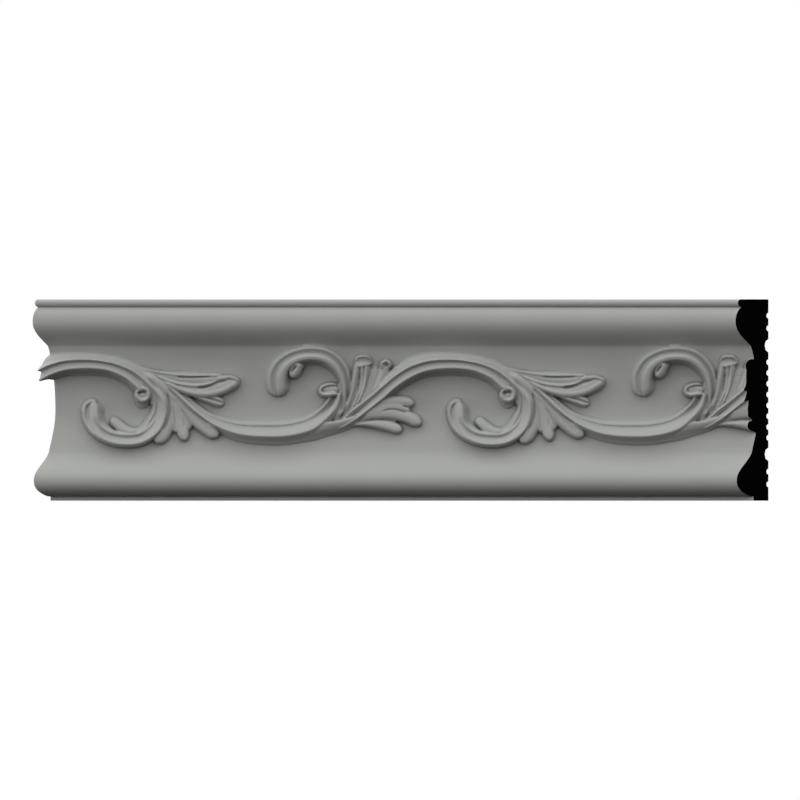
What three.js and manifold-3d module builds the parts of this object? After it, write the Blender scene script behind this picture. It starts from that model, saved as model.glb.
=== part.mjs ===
// Panel moulding: a straight length of moulding with a running scroll of acanthus leaves.
// Millimetres, +Z up, +X along the moulding. The back lies in the plane Y = 0 and the
// carved front looks towards -Y. The origin is the middle of the back.

import * as THREE from 'three';
import { mergeVertices } from 'three/addons/utils/BufferGeometryUtils.js';
import Module from 'manifold-3d';

// Outer sizes. The length is measured along the back. Both ends are cut on the same slant,
// in degrees from square: the front runs further to the left and the back to the right.
const mouldingLength = 343.4;
const mouldingHeight = 98.4;
const projection = 16.05;
const endSlant = 45;

// Top roll, a small half round along the upper edge, and the quirk under it
const topRollWidth = 3.7;
const topRollProjection = 14.9;
const quirkWidth = 0.3;
const quirkProjection = 13.6;

// Upper bead: its crest and its foot below the top edge
const upperBeadCrest = 11.0;
const upperBeadFoot = 22.8;
const upperFootProjection = 8.6;

// Field, the shallow trough that carries the leaves: its lowest line from mid height
const fieldLowest = -5;
const fieldProjection = 4.9;

// Lower bead, its foot and its crest above the bottom edge, and the flat fillet below it
const lowerBeadFoot = 23.6;
const lowerFootProjection = 8.15;
const lowerBeadCrest = 9.8;
const lowerBeadProjection = 15.5;
const lowerEndProjection = 9.0;
const filletWidth = 2.0;
const filletProjection = 7.3;
const filletDraft = 0.2;

// Grooves in the back, which save weight and hold adhesive. The outer ones are placed from
// the edges, and the inner ones fill the flat between the two wide ones.
const grooveWidth = 2.9;
const grooveDepth = 1.0;
const grooveSpacing = 5.28;
const outerGrooveInsets = [8.0, 14.2];
const wideGrooveInset = 22.7;
const wideGrooveWidth = 6.4;
const wideGrooveDepth = 1.8;

// Running scroll: how long one repeat is, how far it stands up from the field and where
// the zero line of the middle repeat lies from the middle of the back
const repeatLength = 178.4;
const reliefHeight = 7.8;
const motifPlace = -6.4;

// The motif is drawn at these sizes, with its zero line 25.6 above the foot of the lower
// bead. Every place, width and rise of the motif is in them.
const drawnRepeat = 179.2;
const drawnField = 52;
const drawnFoot = -25.6;
const drawnRelief = 7.8;

// Fineness of the facets
const beadSteps = 6;
const fieldSteps = 4;
const rollSteps = 6;
const grooveSteps = 4;
const stemStep = 6.2;
const leafStations = 6;
const curlStations = 11;

// How deep the strokes are sunk into the field, what share of their width is left there, how
// much of one has to show at the left end, and the spare length and height of a cut
const footBurial = 0.6;
const bodyBurial = 1.6;
const buriedWidth = 0.8;
const leastShown = 4;
const cuttingSpare = 20;

// How the strokes round off: the least width at an end as a share, where the stations of a
// stem's root and tip lie, where its section turns into the end section, how far a leaf
// swells along its length, how its stations crowd to the tip and how long that tip is in
// widths, and the share of a volute's sweep that tapers
const leastFullness = 0.22;
const rootStation = 0.35;
const tipStations = [0.5, 0.15];
const sectionTurn = [0.74, 0.86];
const leafSwellEnd = 0.7;
const leafTipCrowding = 1.5;
const leafTipLength = 1.3;
const curlTaper = 1 / 3;

const colour = new THREE.Color('#a9aba6');

const wasm = await Module();
wasm.setup();

const top = mouldingHeight / 2;
const bottom = -mouldingHeight / 2;
const slantPerDepth = Math.tan(THREE.MathUtils.degToRad(endSlant));
const slantRun = projection * slantPerDepth;

// A closed geometry as a solid that can be joined and cut
function solidOf(geometry) {
  const bare = geometry.clone();
  bare.deleteAttribute('normal');
  bare.deleteAttribute('uv');
  const merged = mergeVertices(bare, 1e-5);
  return new wasm.Manifold(new wasm.Mesh({
    numProp: 3,
    vertProperties: new Float32Array(merged.attributes.position.array),
    triVerts: new Uint32Array(merged.index.array),
  }));
}

function geometryOf(solid) {
  const mesh = solid.getMesh();
  const geometry = new THREE.BufferGeometry();
  geometry.setAttribute('position', new THREE.BufferAttribute(mesh.vertProperties, 3));
  geometry.setIndex(new THREE.BufferAttribute(mesh.triVerts, 1));
  geometry.computeVertexNormals();
  return geometry;
}

// One curved stretch of the front between two points of [height, projection]. The leans
// say what share of the way the curve is pulled, in height and in projection, at each end.
function stretch(from, to, leanFrom, leanTo, steps) {
  const start = new THREE.Vector2(...from);
  const end = new THREE.Vector2(...to);
  const pulled = (lean) => new THREE.Vector2(
    THREE.MathUtils.lerp(start.x, end.x, lean[0]),
    THREE.MathUtils.lerp(start.y, end.y, lean[1]),
  );
  const curve = new THREE.CubicBezierCurve(start, pulled(leanFrom), pulled(leanTo), end);
  return curve.getPoints(steps).slice(1).map((point) => [point.x, point.y]);
}

// The half round along the top edge
function topRoll() {
  const points = [];
  for (let step = 0; step <= rollSteps; step += 1) {
    const angle = Math.PI * (step / rollSteps);
    const height = top - topRollWidth * (1 - Math.cos(angle)) / 2;
    const rise = (topRollProjection - quirkProjection) * Math.sin(angle);
    points.push([height, quirkProjection + rise]);
  }
  return points;
}

const upperFoot = [top - upperBeadFoot, upperFootProjection];
const lowerFoot = [bottom + lowerBeadFoot, lowerFootProjection];

// Front of the section, from the top edge down: height and projection of each point
function frontProfile() {
  const quirk = [top - topRollWidth - quirkWidth, quirkProjection];
  const upperCrest = [top - upperBeadCrest, projection];
  const lowest = [fieldLowest, fieldProjection];
  const lowerCrest = [bottom + lowerBeadCrest, lowerBeadProjection];
  const beadEnd = [bottom + filletWidth + filletDraft, lowerEndProjection];
  return [
    ...topRoll(),
    quirk,
    ...stretch(quirk, upperCrest, [0.23, 0.61], [0.53, 1], beadSteps),
    ...stretch(upperCrest, upperFoot, [0.42, 0], [0.68, 0.52], beadSteps),
    ...stretch(upperFoot, lowest, [0.2, 0.57], [0.59, 1], fieldSteps),
    ...stretch(lowest, lowerFoot, [0.39, 0], [0.73, 0.68], fieldSteps),
    ...stretch(lowerFoot, lowerCrest, [0.39, 0.28], [0.61, 1], beadSteps),
    ...stretch(lowerCrest, beadEnd, [0.5, 0], [0.79, 0.385], beadSteps),
    [bottom + filletWidth, filletProjection],
    [bottom, filletProjection],
  ];
}

const front = frontProfile();

// How far the plain front stands from the wall at a height
function plainProjection(height) {
  for (let i = 1; i < front.length; i += 1) {
    const [upperHeight, upperOut] = front[i - 1];
    const [lowerHeight, lowerOut] = front[i];
    if (height <= upperHeight && height >= lowerHeight && upperHeight > lowerHeight) {
      const share = (upperHeight - height) / (upperHeight - lowerHeight);
      return THREE.MathUtils.lerp(upperOut, lowerOut, share);
    }
  }
  return filletProjection;
}

// Places, widths and depths of the grooves in the upper half of the back
function upperGrooves() {
  const wide = top - wideGrooveInset;
  const grooves = [[wide, wideGrooveWidth, wideGrooveDepth]];
  for (const inset of outerGrooveInsets) grooves.push([top - inset, grooveWidth, grooveDepth]);
  const flatEnd = wide - wideGrooveWidth / 2 - grooveWidth / 2;
  for (let place = grooveSpacing / 2; place < flatEnd; place += grooveSpacing) {
    grooves.push([place, grooveWidth, grooveDepth]);
  }
  return grooves;
}

// The back from the bottom edge up, with its scooped grooves
function backProfile() {
  const upper = upperGrooves();
  const lower = upper.map(([place, width, depth]) => [-place, width, depth]);
  const all = [...upper, ...lower].sort((a, b) => a[0] - b[0]);
  const points = [[bottom, 0]];
  for (const [place, width, depth] of all) {
    for (let step = 0; step <= grooveSteps; step += 1) {
      const angle = Math.PI * (step / grooveSteps);
      points.push([place - Math.cos(angle) * width / 2, Math.sin(angle) * depth]);
    }
  }
  points.push([top, 0]);
  return points;
}

// The plain moulding, a little longer than needed so that its ends can be cut clean
function plainMoulding() {
  const outline = [...backProfile(), ...front];
  const shape = new THREE.Shape(outline.map(([height, out]) => new THREE.Vector2(-out, height)));
  const rough = mouldingLength + 2 * slantRun + cuttingSpare;
  const geometry = new THREE.ExtrudeGeometry(shape, { depth: rough, bevelEnabled: false });
  const along = new THREE.Vector3(1, 0, 0);
  const outwards = new THREE.Vector3(0, 1, 0);
  const up = new THREE.Vector3(0, 0, 1);
  geometry.applyMatrix4(new THREE.Matrix4().makeBasis(outwards, up, along));
  geometry.translate(-rough / 2, 0, 0);
  return solidOf(geometry);
}

// Cross sections of the strokes: place from the left foot (-1) over the path (0) to the
// right foot (1), and the share of the stroke's height there
const sections = {
  arch: [[-0.62, 0.5], [-0.28, 0.83], [0, 1], [0.2, 0.85], [0.36, 0.93], [0.66, 0.86]],
  stem: [[-0.72, 0.55], [-0.5, 0.5], [-0.34, 0.74], [0, 1], [0.2, 0.9], [0.6, 0.5]],
  scroll: [[-0.7, 0.55], [-0.35, 0.93], [0, 1], [0.4, 0.88], [0.56, 0.68], [0.8, 0.7]],
  spoon: [[-0.8, 0.82], [-0.55, 0.98], [-0.1, 0.68], [0.15, 0.66], [0.55, 1], [0.8, 0.82]],
  leaf: [[-0.72, 0.74], [-0.36, 1], [-0.02, 0.74], [0.02, 0.74], [0.4, 1], [0.76, 0.74]],
  round: [[-0.75, 0.66], [-0.4, 0.92], [-0.1, 1], [0.1, 1], [0.4, 0.92], [0.75, 0.66]],
};

// A stroke as a solid: its section carried along stations of
// { x, z, left, right, height, section }, with its foot sunk into the field
function strokeSolid(stations, shift) {
  const positions = [];
  const ringSize = stations[0].section.length + 4;
  const alongScale = repeatLength / drawnRepeat;
  const upScale = (upperFoot[0] - lowerFoot[0]) / drawnField;
  const outScale = reliefHeight / drawnRelief;
  stations.forEach((station, i) => {
    const before = stations[Math.max(i - 1, 0)];
    const after = stations[Math.min(i + 1, stations.length - 1)];
    const run = new THREE.Vector2(after.x - before.x, after.z - before.z).normalize();
    const place = (offset, rise) => {
      const width = offset < 0 ? station.left : station.right;
      const x = station.x + run.y * offset * width;
      const drawnUp = station.z - run.x * offset * width;
      const z = lowerFoot[0] + (drawnUp - drawnFoot) * upScale;
      const out = plainProjection(z) + rise;
      positions.push(motifPlace + (x + shift) * alongScale, -out, z);
    };
    place(-1, -footBurial);
    for (const [offset, share] of station.section) {
      place(offset, share * station.height * outScale);
    }
    place(1, -footBurial);
    place(buriedWidth, -bodyBurial);
    place(-buriedWidth, -bodyBurial);
  });
  const faces = [];
  const last = (stations.length - 1) * ringSize;
  for (let i = 0; i < stations.length - 1; i += 1) {
    for (let k = 0; k < ringSize; k += 1) {
      const a = i * ringSize + k;
      const b = i * ringSize + (k + 1) % ringSize;
      faces.push(a, b, a + ringSize, b, b + ringSize, a + ringSize);
    }
  }
  for (let k = 1; k < ringSize - 1; k += 1) {
    faces.push(0, k + 1, k);
    faces.push(last, last + k, last + k + 1);
  }
  const geometry = new THREE.BufferGeometry();
  geometry.setAttribute('position', new THREE.Float32BufferAttribute(positions, 3));
  geometry.setIndex(faces);
  return solidOf(geometry);
}

// How full a stroke is near its ends, where it closes in a half round
function roundedEnd(distance, reach) {
  if (reach <= 0 || distance >= reach) return 1;
  const share = Math.min(1 - distance / reach, 1);
  return Math.max(Math.sqrt(1 - share * share), leastFullness);
}

function mixSections(from, to, share) {
  return from.map(([offset, rise], k) => [
    THREE.MathUtils.lerp(offset, to[k][0], share),
    THREE.MathUtils.lerp(rise, to[k][1], share),
  ]);
}

// Distances along a stem at which it has a station: close together where it rounds off
function stationRuns(length, root, tip) {
  const middle = length - root - tip;
  const count = Math.round(middle / stemStep);
  const runs = [0, root * rootStation];
  for (let i = 0; i <= count; i += 1) runs.push(root + middle * i / count);
  for (const share of tipStations) runs.push(length - tip * share);
  runs.push(length);
  return runs;
}

// A long stem through points of [x, z, left half width, right half width, height]
function stem({ route, section, endSection = section, root = 2, tip = 2 }) {
  const centre = new THREE.CatmullRomCurve3(
    route.map(([x, z]) => new THREE.Vector3(x, z, 0)), false, 'centripetal');
  const length = centre.getLength();
  const gaps = route.length - 1;
  return stationRuns(length, root, tip).map((run) => {
    const along = centre.getUtoTmapping(run / length);
    const { x, y: z } = centre.getPoint(along);
    const gap = Math.min(Math.floor(along * gaps), gaps - 1);
    const mix = (column) => THREE.MathUtils.lerp(
      route[gap][column], route[gap + 1][column], along * gaps - gap);
    const fullness = roundedEnd(run, root) * roundedEnd(length - run, tip);
    const turning = THREE.MathUtils.smoothstep(run / length, ...sectionTurn);
    return {
      x,
      z,
      left: mix(2) * fullness,
      right: mix(3) * fullness,
      height: mix(4),
      section: mixSections(sections[section], sections[endSection], turning),
    };
  });
}

// A leaf lobe from its root to its tip, bowed towards the bend
function leaf({ root, bend, tip, width, rise, rootWidth = 0.55, section = 'leaf' }) {
  const curve = new THREE.QuadraticBezierCurve(
    new THREE.Vector2(...root), new THREE.Vector2(...bend), new THREE.Vector2(...tip));
  const length = curve.getLength();
  const stations = [];
  for (let i = 0; i <= leafStations; i += 1) {
    const along = 1 - (1 - i / leafStations) ** leafTipCrowding;
    const { x, y: z } = curve.getPointAt(along);
    const swollen = THREE.MathUtils.smoothstep(along, 0, leafSwellEnd);
    const fullness = roundedEnd(length * (1 - along), width * leafTipLength);
    const full = width * THREE.MathUtils.lerp(rootWidth, 1, swollen) * fullness;
    stations.push({
      x,
      z,
      left: full,
      right: full,
      height: THREE.MathUtils.lerp(rise[0], rise[1], along),
      section: sections[section],
    });
  }
  return stations;
}

// A volute: a rounded ring that winds in from its start angle, in degrees
function curl({ centre, radius, start, sweep, width, height }) {
  const stations = [];
  for (let i = 0; i <= curlStations; i += 1) {
    const share = i / curlStations;
    const angle = THREE.MathUtils.degToRad(start + sweep * share);
    const reach = THREE.MathUtils.lerp(radius[0], radius[1], share);
    const thickness = width * roundedEnd(1 - share, curlTaper);
    stations.push({
      x: centre[0] + Math.cos(angle) * reach,
      z: centre[1] + Math.sin(angle) * reach,
      left: thickness,
      right: thickness,
      height,
      section: sections.round,
    });
  }
  return stations;
}

const motif = [
  // The arching stem, which turns down into the lower scroll and ends in its tip
  stem({
    section: 'arch',
    endSection: 'spoon',
    root: 6,
    tip: 4,
    route: [
      [-44, -17.6, 2.6, 3.2, 3.8], [-36, -13.4, 2.6, 4.6, 5.0], [-28, -7.6, 3, 6, 6.0],
      [-19, 0.6, 3.2, 7, 6.8], [-9, 8.8, 3.8, 7.2, 7.3], [0, 14.8, 5.4, 7, 7.7],
      [10, 19, 4.4, 7.6, 7.8], [21, 20.8, 3, 8.4, 7.8], [32, 20, 3.2, 8.2, 7.6],
      [41, 17, 3.6, 7.4, 7.3], [49, 11.8, 4.2, 5.4, 7.0], [55.5, 5.2, 4.4, 3.8, 6.7],
      [59.6, -2, 3.8, 4.2, 6.5], [59.2, -9, 3.8, 4.8, 6.5], [55.5, -15.6, 3.4, 5.6, 6.5],
      [48, -20.2, 2.7, 6, 6.5], [39.5, -20.4, 3, 5, 6.4], [32, -17.2, 3.8, 4.2, 6.2],
      [27, -12, 4.4, 4.4, 6], [25.2, -6.4, 4.3, 4.6, 5.8], [26, -0.2, 4, 4, 5.0],
    ],
  }),
  curl({ centre: [51.2, 2.4], radius: [3.9, 2.9], start: 85, sweep: -330, width: 1.55, height: 6.6 }),
  leaf({
    root: [52, -15.4], bend: [43, -17.4], tip: [35, -8.2], width: 3, rise: [5.4, 4.2],
    section: 'round',
  }),

  // Leaves that spring to the right from the foot of the arch
  leaf({
    root: [56, 11.6], bend: [72, 12.4], tip: [91.5, 12.6], width: 1.7, rise: [6.4, 4.8],
    section: 'round',
  }),
  leaf({
    root: [58, 10.6], bend: [77, 3], tip: [93, 13], width: 1.9, rise: [6.6, 5.2],
    section: 'round',
  }),
  leaf({
    root: [60, 9.4], bend: [80, -1.4], tip: [99, 10.4], width: 4.2, rise: [6.4, 4.8],
    rootWidth: 0.45, section: 'spoon',
  }),
  leaf({ root: [67, 4.4], bend: [78, 0.4], tip: [91, -3.6], width: 2.1, rise: [5.4, 3.8] }),

  // Three lobes that fan down beside the lower scroll, over the sheet that joins them
  leaf({
    root: [64, 6], bend: [67, -6], tip: [74, -16.5], width: 7.5, rise: [4.4, 3.4],
    section: 'round',
  }),
  leaf({ root: [63.6, 5], bend: [66.6, -12], tip: [56, -22.2], width: 4.2, rise: [5.8, 4.2] }),
  leaf({ root: [64.6, 5], bend: [69, -8], tip: [72.6, -20.4], width: 3.9, rise: [5.8, 4.2] }),
  leaf({ root: [65.6, 5], bend: [74.5, -9.5], tip: [88.8, -18.6], width: 4.4, rise: [5.8, 4.2] }),

  // The low stem, which runs on to the right and turns up into the upper volute
  stem({
    section: 'stem',
    root: 3,
    tip: 1,
    route: [
      [61, 9, 2.5, 2.6, 6.0], [69, 2.4, 3, 2.8, 6.4], [77, -5, 3.6, 3, 6.6],
      [86, -11.4, 4.8, 3.8, 6.9], [96, -15.2, 6, 5, 7.2], [108, -17, 6.9, 5.8, 7.3],
      [120, -17, 7, 6, 7.3], [131, -15, 6.8, 5.6, 7.1], [140, -10.8, 5.8, 4.2, 6.9],
      [145.4, -5, 4.6, 3, 6.7], [146.6, 1.6, 3, 2.4, 6.5],
    ],
  }),
  curl({ centre: [142.2, 4.6], radius: [4, 2.9], start: -35, sweep: 320, width: 1.6, height: 6.5 }),

  // The upper scroll, with the leaf that curls inside it
  stem({
    section: 'scroll',
    root: 3,
    tip: 4,
    route: [
      [-33.6, -11, 2, 2, 5.0], [-30.8, -4, 2.6, 3.2, 6.0], [-30.2, 4, 3.4, 4.2, 6.6],
      [-32, 13, 4, 5, 6.8], [-36.6, 19, 4, 5.2, 6.8], [-42, 21.4, 4, 4.7, 6.6],
      [-48, 21.6, 4.2, 4.4, 6.4], [-54.5, 19.8, 3.8, 4.6, 6.3], [-59.6, 15.8, 3.5, 4.8, 6.2],
      [-61.4, 9.4, 3.6, 4.8, 6], [-60.4, 1.8, 3.8, 4.4, 5.2],
    ],
  }),
  leaf({
    root: [-47.5, 18.6], bend: [-53.4, 18.6], tip: [-53.8, 9.6], width: 3.1, rise: [5.6, 4.6],
    section: 'spoon',
  }),

  // Leaves above the root of the arch
  leaf({
    root: [-29, -9], bend: [-20.6, 2], tip: [-19.4, 22.4], width: 4.3, rise: [5.4, 4.4],
    rootWidth: 0.5, section: 'spoon',
  }),
  leaf({
    root: [-15.5, 4], bend: [-10.5, 9], tip: [-8.2, 19.8], width: 2.7, rise: [6.2, 4.6],
    section: 'spoon',
  }),

  // Leaves below the arch, over the sheet that joins them
  leaf({
    root: [-19, -7], bend: [-8, -5.4], tip: [3.4, -7], width: 5.4, rise: [3.6, 3],
    section: 'round',
  }),
  leaf({ root: [-17.5, -5.5], bend: [-4, 2.8], tip: [6, -3.6], width: 3.3, rise: [5.6, 4.4] }),
  leaf({ root: [-22, -9], bend: [-4, -4.4], tip: [9.8, -12.8], width: 3.7, rise: [5.4, 4.2] }),
  leaf({ root: [-26, -12.4], bend: [-12, -11], tip: [0.4, -15.6], width: 2.2, rise: [4.8, 3.8] }),
];

// Every stroke of every repeat that reaches the length shown. One that would only just come
// in past the left end is left off, because the slant would cut it loose from the field.
function carving() {
  const solids = [];
  const alongScale = repeatLength / drawnRepeat;
  const fieldStart = -mouldingLength / 2 - fieldProjection * slantPerDepth;
  const from = (fieldStart - motifPlace) / alongScale + leastShown;
  const to = (mouldingLength / 2 - motifPlace) / alongScale;
  const repeats = Math.ceil((mouldingLength + slantRun) / repeatLength) + 1;
  for (let copy = -repeats; copy <= repeats; copy += 1) {
    const shift = copy * drawnRepeat;
    for (const stations of motif) {
      const leftmost = Math.min(...stations.map(({ x, left, right }) => x - Math.max(left, right)));
      const rightmost = Math.max(...stations.map(({ x }) => x));
      if (leftmost + shift < to && rightmost + shift > from) {
        solids.push(strokeSolid(stations, shift));
      }
    }
  }
  return solids;
}

// The length that is kept: a block with both ends on the slant
function keptLength() {
  const spare = cuttingSpare / 2;
  const backShift = spare * slantPerDepth;
  const frontShift = -(projection + spare) * slantPerDepth;
  const half = mouldingLength / 2;
  const plan = new THREE.Shape([
    new THREE.Vector2(-half + frontShift, -projection - spare),
    new THREE.Vector2(half + frontShift, -projection - spare),
    new THREE.Vector2(half + backShift, spare),
    new THREE.Vector2(-half + backShift, spare),
  ]);
  const depth = mouldingHeight + cuttingSpare;
  const block = new THREE.ExtrudeGeometry(plan, { depth, bevelEnabled: false });
  block.translate(0, 0, -depth / 2);
  return solidOf(block);
}

function panelMoulding() {
  const joined = carving().reduce((whole, stroke) => whole.add(stroke), plainMoulding());
  return geometryOf(joined.intersect(keptLength()));
}

const finish = new THREE.MeshStandardMaterial({ color: colour, roughness: 0.6, metalness: 0 });
const moulding = new THREE.Mesh(panelMoulding(), finish);
moulding.name = 'panel_moulding';

const part = new THREE.Group();
part.add(moulding);

export default part;
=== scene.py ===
import math
import time

import bmesh
import bpy
import numpy as np
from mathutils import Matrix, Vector


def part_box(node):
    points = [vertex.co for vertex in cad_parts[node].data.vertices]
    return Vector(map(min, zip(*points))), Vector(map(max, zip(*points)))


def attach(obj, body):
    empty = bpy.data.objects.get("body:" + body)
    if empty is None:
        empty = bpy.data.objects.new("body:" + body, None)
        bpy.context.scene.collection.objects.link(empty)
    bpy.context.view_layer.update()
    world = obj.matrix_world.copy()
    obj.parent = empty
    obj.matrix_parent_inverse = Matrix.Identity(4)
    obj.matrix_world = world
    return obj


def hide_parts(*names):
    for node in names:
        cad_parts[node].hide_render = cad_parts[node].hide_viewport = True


# Panel moulding: a straight length of moulding with a running scroll of acanthus leaves.
# The lists below are in millimetres and the meshes in metres. The back is at Y = 0.

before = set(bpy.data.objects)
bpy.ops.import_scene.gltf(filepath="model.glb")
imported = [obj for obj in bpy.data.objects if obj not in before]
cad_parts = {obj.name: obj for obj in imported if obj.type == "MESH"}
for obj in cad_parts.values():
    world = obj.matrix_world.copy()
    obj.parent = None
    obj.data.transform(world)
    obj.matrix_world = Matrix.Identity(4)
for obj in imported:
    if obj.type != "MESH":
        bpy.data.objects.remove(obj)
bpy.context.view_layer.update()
startTime = time.time()
millimetre = 0.001
backClear = 2.3  # depth that holds all of the back's grooves
curveSamples = 400
blockLow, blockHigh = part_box("panel_moulding")


def note(text):
    print(f"{time.time() - startTime:6.1f} s  {text}", flush=True)


moulding = {
    "tipToTip": (blockHigh[0] - blockLow[0]) / millimetre,
    "height": (blockHigh[2] - blockLow[2]) / millimetre,
    "projection": -blockLow[1] / millimetre,
    "endSlant": 45.0,  # degrees from square, seen from above
    "topRoll": (3.7, 14.9),  # width, projection
    "quirk": (0.3, 13.6),
    "upperBeadCrest": 11.0,  # below the top edge
    "upperBeadFoot": (22.8, 8.6),
    "fieldLowest": (-5.0, 4.9),  # from mid height
    "lowerBeadFoot": (23.6, 8.15),  # above the bottom edge
    "lowerBeadCrest": (9.8, 15.5),
    "lowerEnd": 9.0,
    "fillet": (2.0, 7.3, 0.2),  # width, projection, draft
    "groove": (2.9, 1.0),  # width, depth
    "grooveSpacing": 5.28,
    "outerGrooves": (8.0, 14.2),  # from the edge
    "wideGroove": (22.7, 6.4, 1.8),  # inset, width, depth, under backClear
    "grooveSteps": 4,
    "step": 0.35,  # length of the finest cells
    "fieldCells": (88, 56),  # finest cells up the field, above and below its lowest line
    "plainStep": 0.9,  # height of the cells of the plain members
    "cellSizes": (2, 4, 8),  # coarser cells of the field, in finest ones
    "stripCells": 16,  # finest cells in a cell of the plain members
    "shadeCells": 3,  # reach of the painted shade in the hollows
    "shadeDepth": 2.2,
    "shadeLeast": 0.25,  # share of that painted shade that stays where the surface is flat
    "roughness": 0.016,  # how far a coarse cell may leave the fine surface
    "smoothAngle": 50.0,
    "rollPoints": 15,
    # how far each curve leans on its start and on its end, in height and in projection
    "upperRise": ((0.23, 0.61), (0.53, 1)),
    "upperFall": ((0.42, 0), (0.68, 0.52)),
    "fieldFall": ((0.2, 0.57), (0.59, 1)),
    "fieldRise": ((0.39, 0), (0.73, 0.68)),
    "lowerRise": ((0.39, 0.28), (0.61, 1)),
    "lowerFall": ((0.5, 0), (0.79, 0.385)),
}


def lerp(start, end, share):
    return start + (end - start) * share


def distanceAlong(points):
    return np.concatenate([[0], np.cumsum(np.linalg.norm(np.diff(points, axis=0), axis=1))])


# a curve of the section, without its first point, in cells of about this size or so many of them
def stretch(start, end, leans, size=None, cells=None):
    a, d = np.array(start), np.array(end)
    b, c = (a + (d - a) * lean for lean in leans)
    t = np.linspace(0, 1, curveSamples)[:, None]
    curve = (1 - t) ** 3 * a + 3 * (1 - t) ** 2 * t * b + 3 * (1 - t) * t**2 * c + t**3 * d
    run = distanceAlong(curve)
    at = np.linspace(0, run[-1], (cells or max(2, round(run[-1] / size))) + 1)[1:]
    return np.stack([np.interp(at, run, curve[:, k]) for k in (0, 1)], 1)


def frontPoints(sizes):  # height and projection of each point of the front, from the top edge down
    top, bottom = sizes["height"] / 2, -sizes["height"] / 2
    rollWidth, rollOut = sizes["topRoll"]
    quirkWidth, quirkOut = sizes["quirk"]
    filletWidth, filletOut, draft = sizes["fillet"]
    angle = np.linspace(0, math.pi, sizes["rollPoints"])
    rollPlaces = top - rollWidth * (1 - np.cos(angle)) / 2
    roll = np.stack([rollPlaces, quirkOut + (rollOut - quirkOut) * np.sin(angle)], 1)
    quirk = (top - rollWidth - quirkWidth, quirkOut)
    upperCrest = (top - sizes["upperBeadCrest"], sizes["projection"])
    upperFoot = (top - sizes["upperBeadFoot"][0], sizes["upperBeadFoot"][1])
    lowest = sizes["fieldLowest"]
    lowerFoot = (bottom + sizes["lowerBeadFoot"][0], sizes["lowerBeadFoot"][1])
    lowerCrest = (bottom + sizes["lowerBeadCrest"][0], sizes["lowerBeadCrest"][1])
    beadEnd = (bottom + filletWidth + draft, sizes["lowerEnd"])
    plain = sizes["plainStep"]
    above = np.vstack([
        roll,
        [quirk],
        stretch(quirk, upperCrest, sizes["upperRise"], plain),
        stretch(upperCrest, upperFoot, sizes["upperFall"], plain),
    ])
    field = np.vstack([
        stretch(upperFoot, lowest, sizes["fieldFall"], cells=sizes["fieldCells"][0]),
        stretch(lowest, lowerFoot, sizes["fieldRise"], cells=sizes["fieldCells"][1]),
    ])
    below = np.vstack([
        stretch(lowerFoot, lowerCrest, sizes["lowerRise"], plain),
        stretch(lowerCrest, beadEnd, sizes["lowerFall"], plain),
        [(bottom + filletWidth, filletOut), (bottom, filletOut)],
    ])
    return above, field, below


def backPoints(sizes):  # the back from the bottom edge up, with its scooped grooves
    top = sizes["height"] / 2
    inset, wideWidth, wideDepth = sizes["wideGroove"]
    width, depth = sizes["groove"]
    grooves = [(top - inset, wideWidth, wideDepth)]
    grooves += [(top - place, width, depth) for place in sizes["outerGrooves"]]
    flatEnd = top - inset - wideWidth / 2 - width / 2
    place = sizes["grooveSpacing"] / 2
    while place < flatEnd:
        grooves.append((place, width, depth))
        place += sizes["grooveSpacing"]
    grooves += [(-place, width, depth) for place, width, depth in grooves]
    angle = np.linspace(0, math.pi, sizes["grooveSteps"] + 1)
    scoops = [
        np.stack([place - np.cos(angle) * width / 2, np.sin(angle) * depth], 1)
        for place, width, depth in sorted(grooves)
    ]
    return np.vstack([[(-top, 0)], *scoops, [(top, 0)]])


def sectionOutline(sizes):
    above, field, below = frontPoints(sizes)
    points = np.vstack([above, field, below, backPoints(sizes)])
    count = len(points)
    mesh = bpy.data.meshes.new("sectionOutline")
    # on a path along +X a profile's X comes out as -Y and its Y as -Z
    corners = [(out * millimetre, -height * millimetre, 0) for height, out in points]
    mesh.from_pydata(corners, [(i, (i + 1) % count) for i in range(count)], [])
    rowNumbers = mesh.attributes.new("row", "FLOAT", "POINT")
    rowNumbers.data.foreach_set("value", np.arange(count, dtype=np.float32))
    return mesh, len(above) - 1, len(above) + len(field) - 1


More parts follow.
